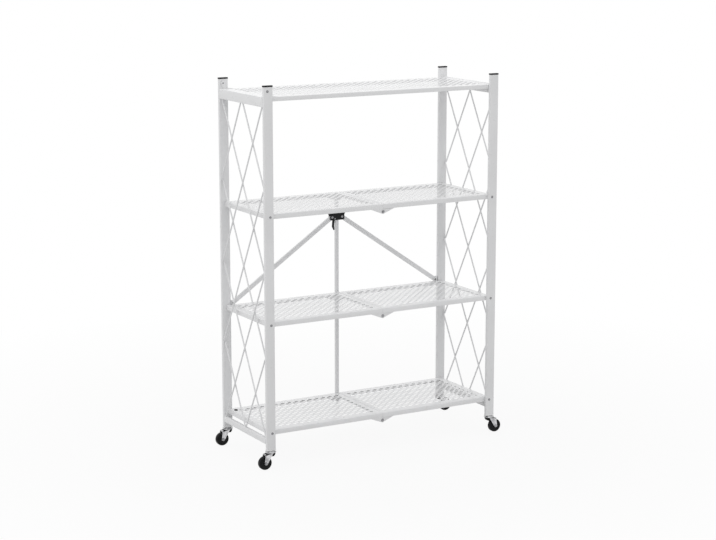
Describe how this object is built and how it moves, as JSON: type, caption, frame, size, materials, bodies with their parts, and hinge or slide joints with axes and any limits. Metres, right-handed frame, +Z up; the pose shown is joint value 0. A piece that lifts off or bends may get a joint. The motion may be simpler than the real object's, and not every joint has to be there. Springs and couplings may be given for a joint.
{
  "type": "folding bookcase",
  "caption": "White folding bookcase on casters: perforated shelves hinged across the middle, lattice rod ends, rear braces with a sliding lock, and a flip-up top shelf.",
  "frame": {"origin": "on the floor, under the middle of the bookcase", "axes": "+X to the right along the width, +Y to the back, +Z up; at rest the bookcase is open and locked"},
  "size_m": [0.943, 0.356, 1.25],
  "materials": {
    "white_paint": "smooth semi-gloss powder coat",
    "black_plastic": "moulded, slightly satin",
    "white_plastic": "moulded, slightly satin",
    "black_paint": "satin black coat",
    "bright_zinc": "bright zinc plating",
    "bright_chrome": "polished plating",
    "wheel_black": "hard nylon, slightly glossy",
    "bumper_rubber": "matt"
  },
  "bodies": {
    "left_frame": {"left_brace_bracket": "white_paint", "left_brace_rivet": "bright_zinc", "left_caster_sockets": "white_plastic", "left_foot_crossbar": "white_paint", "left_front_post": "white_paint", "left_lattice": "white_paint", "left_post_caps": "black_plastic", "left_rear_post": "white_paint", "left_shelf_rivets": "bright_zinc", "left_top_crossbar": "white_paint", "top_shelf_rivets": "bright_zinc"},
    "right_frame": {"right_brace_bracket": "white_paint", "right_brace_rivet": "bright_zinc", "right_caster_sockets": "white_plastic", "right_foot_crossbar": "white_paint", "right_front_post": "white_paint", "right_lattice": "white_paint", "right_post_caps": "black_plastic", "right_rear_post": "white_paint", "right_shelf_rivets": "bright_zinc", "right_top_crossbar": "white_paint", "top_shelf_rests": "white_paint"},
    "lower_left": {"lower_shelf_left": "white_paint", "lower_hinge_rivet": "bright_zinc", "deck_bumper": "bumper_rubber"},
    "lower_right": {"lower_shelf_right": "white_paint"},
    "middle_left": {"middle_shelf_left": "white_paint", "middle_hinge_rivet": "bright_zinc"},
    "middle_right": {"middle_shelf_right": "white_paint"},
    "upper_left": {"upper_shelf_left": "white_paint", "upper_hinge_rivet": "bright_zinc"},
    "upper_right": {"upper_shelf_right": "white_paint"},
    "top_shelf_body": {"top_shelf": "white_paint"},
    "bar": {"centre_bar": "white_paint", "bar_rivets": "bright_zinc"},
    "lock": {"lock_housing": "black_paint", "lock_rivets": "bright_zinc", "trigger_pin": "bright_zinc", "trigger_spring": "bright_zinc"},
    "trigger": {"lock_trigger": "black_paint"},
    "left_brace_body": {"left_brace": "white_paint"},
    "right_brace_body": {"right_brace": "white_paint"},
    "left_front_swivel": {"left_front_caster_fork": "bright_chrome", "left_front_caster_axle": "bright_zinc"},
    "left_front_wheel": {"left_front_caster_wheel": "wheel_black"},
    "left_rear_swivel": {"left_rear_caster_fork": "bright_chrome", "left_rear_caster_axle": "bright_zinc"},
    "left_rear_wheel": {"left_rear_caster_wheel": "wheel_black"},
    "right_front_swivel": {"right_front_caster_fork": "bright_chrome", "right_front_caster_axle": "bright_zinc"},
    "right_front_wheel": {"right_front_caster_wheel": "wheel_black"},
    "right_rear_swivel": {"right_rear_caster_fork": "bright_chrome", "right_rear_caster_axle": "bright_zinc"},
    "right_rear_wheel": {"right_rear_caster_wheel": "wheel_black"}
  },
  "joints": [
    {"name": "fold", "type": "hinge", "parent": "left_frame", "child": "middle_left", "pos_m": [-0.4233, 0, 0.479], "axis": [0, -1, 0], "range_deg": [0, 85.5]},
    {"name": "lower_left_pivot", "type": "hinge", "parent": "left_frame", "child": "lower_left", "pos_m": [-0.4233, 0, 0.119], "axis": [0, -1, 0], "range_deg": [0, 85.5]},
    {"name": "upper_left_pivot", "type": "hinge", "parent": "left_frame", "child": "upper_left", "pos_m": [-0.4233, 0, 0.831], "axis": [0, -1, 0], "range_deg": [0, 85.5]},
    {"name": "lower_middle_hinge", "type": "hinge", "parent": "lower_left", "child": "lower_right", "pos_m": [0, 0, 0.102], "axis": [0, -1, 0], "range_deg": [-171, 0]},
    {"name": "middle_middle_hinge", "type": "hinge", "parent": "middle_left", "child": "middle_right", "pos_m": [0, 0, 0.462], "axis": [0, -1, 0], "range_deg": [-171, 0]},
    {"name": "upper_middle_hinge", "type": "hinge", "parent": "upper_left", "child": "upper_right", "pos_m": [0, 0, 0.814], "axis": [0, -1, 0], "range_deg": [-171, 0]},
    {"name": "right_frame_pivot", "type": "hinge", "parent": "middle_right", "child": "right_frame", "pos_m": [0.4233, 0, 0.479], "axis": [0, -1, 0], "range_deg": [0, 85.5]},
    {"name": "centre_bar_pivot", "type": "hinge", "parent": "middle_left", "child": "bar", "pos_m": [0, 0.161, 0.462], "axis": [0, -1, 0], "range_deg": [-85.5, 0]},
    {"name": "lock_slide", "type": "slide", "parent": "bar", "child": "lock", "axis": [0, 0, 1], "range_m": [-0.237, 0]},
    {"name": "trigger_pull", "type": "hinge", "parent": "lock", "child": "trigger", "pos_m": [-0.0093, 0.157, 0.745], "axis": [0, 1, 0], "range_deg": [0, 15], "stiffness_Nm_per_rad": 0.05, "springref_deg": -5.73},
    {"name": "left_brace_pivot", "type": "hinge", "parent": "left_frame", "child": "left_brace_body", "pos_m": [-0.4015, 0.161, 0.491], "axis": [0, -1, 0], "range_deg": [0, 55]},
    {"name": "right_brace_pivot", "type": "hinge", "parent": "right_frame", "child": "right_brace_body", "pos_m": [0.4015, 0.161, 0.491], "axis": [0, 1, 0], "range_deg": [0, 55]},
    {"name": "top_shelf_flip", "type": "hinge", "parent": "left_frame", "child": "top_shelf_body", "pos_m": [-0.43, 0, 1.232], "axis": [0, -1, 0], "range_deg": [0, 270]},
    {"name": "left_front_swivel_turn", "type": "hinge", "parent": "left_frame", "child": "left_front_swivel", "pos_m": [-0.427, -0.16, 0.055], "axis": [0, 0, 1], "continuous": true},
    {"name": "left_front_wheel_roll", "type": "hinge", "parent": "left_front_swivel", "child": "left_front_wheel", "pos_m": [-0.449, -0.16, 0.0225], "axis": [0, 1, 0], "continuous": true},
    {"name": "left_rear_swivel_turn", "type": "hinge", "parent": "left_frame", "child": "left_rear_swivel", "pos_m": [-0.427, 0.16, 0.055], "axis": [0, 0, 1], "continuous": true},
    {"name": "left_rear_wheel_roll", "type": "hinge", "parent": "left_rear_swivel", "child": "left_rear_wheel", "pos_m": [-0.449, 0.16, 0.0225], "axis": [0, 1, 0], "continuous": true},
    {"name": "right_front_swivel_turn", "type": "hinge", "parent": "right_frame", "child": "right_front_swivel", "pos_m": [0.427, -0.16, 0.055], "axis": [0, 0, 1], "continuous": true},
    {"name": "right_front_wheel_roll", "type": "hinge", "parent": "right_front_swivel", "child": "right_front_wheel", "pos_m": [0.449, -0.16, 0.0225], "axis": [0, 1, 0], "continuous": true},
    {"name": "right_rear_swivel_turn", "type": "hinge", "parent": "right_frame", "child": "right_rear_swivel", "pos_m": [0.427, 0.16, 0.055], "axis": [0, 0, 1], "continuous": true},
    {"name": "right_rear_wheel_roll", "type": "hinge", "parent": "right_rear_swivel", "child": "right_rear_wheel", "pos_m": [0.449, 0.16, 0.0225], "axis": [0, 1, 0], "continuous": true}
  ],
  "couplings": [
    {"joint": "lower_left_pivot", "follows": "fold", "ratio": 1},
    {"joint": "upper_left_pivot", "follows": "fold", "ratio": 1},
    {"joint": "lower_middle_hinge", "follows": "fold", "ratio": -2},
    {"joint": "middle_middle_hinge", "follows": "fold", "ratio": -2},
    {"joint": "upper_middle_hinge", "follows": "fold", "ratio": -2},
    {"joint": "right_frame_pivot", "follows": "fold", "ratio": 1},
    {"joint": "centre_bar_pivot", "follows": "fold", "ratio": -1},
    {"joint": "lock_slide", "follows": "fold", "m_per_rad": -0.15848},
    {"joint": "left_brace_pivot", "follows": "fold", "ratio": 0.6414},
    {"joint": "right_brace_pivot", "follows": "fold", "ratio": 0.6414},
    {"joint": "top_shelf_flip", "follows": "fold", "ratio": 3.1579}
  ]
}
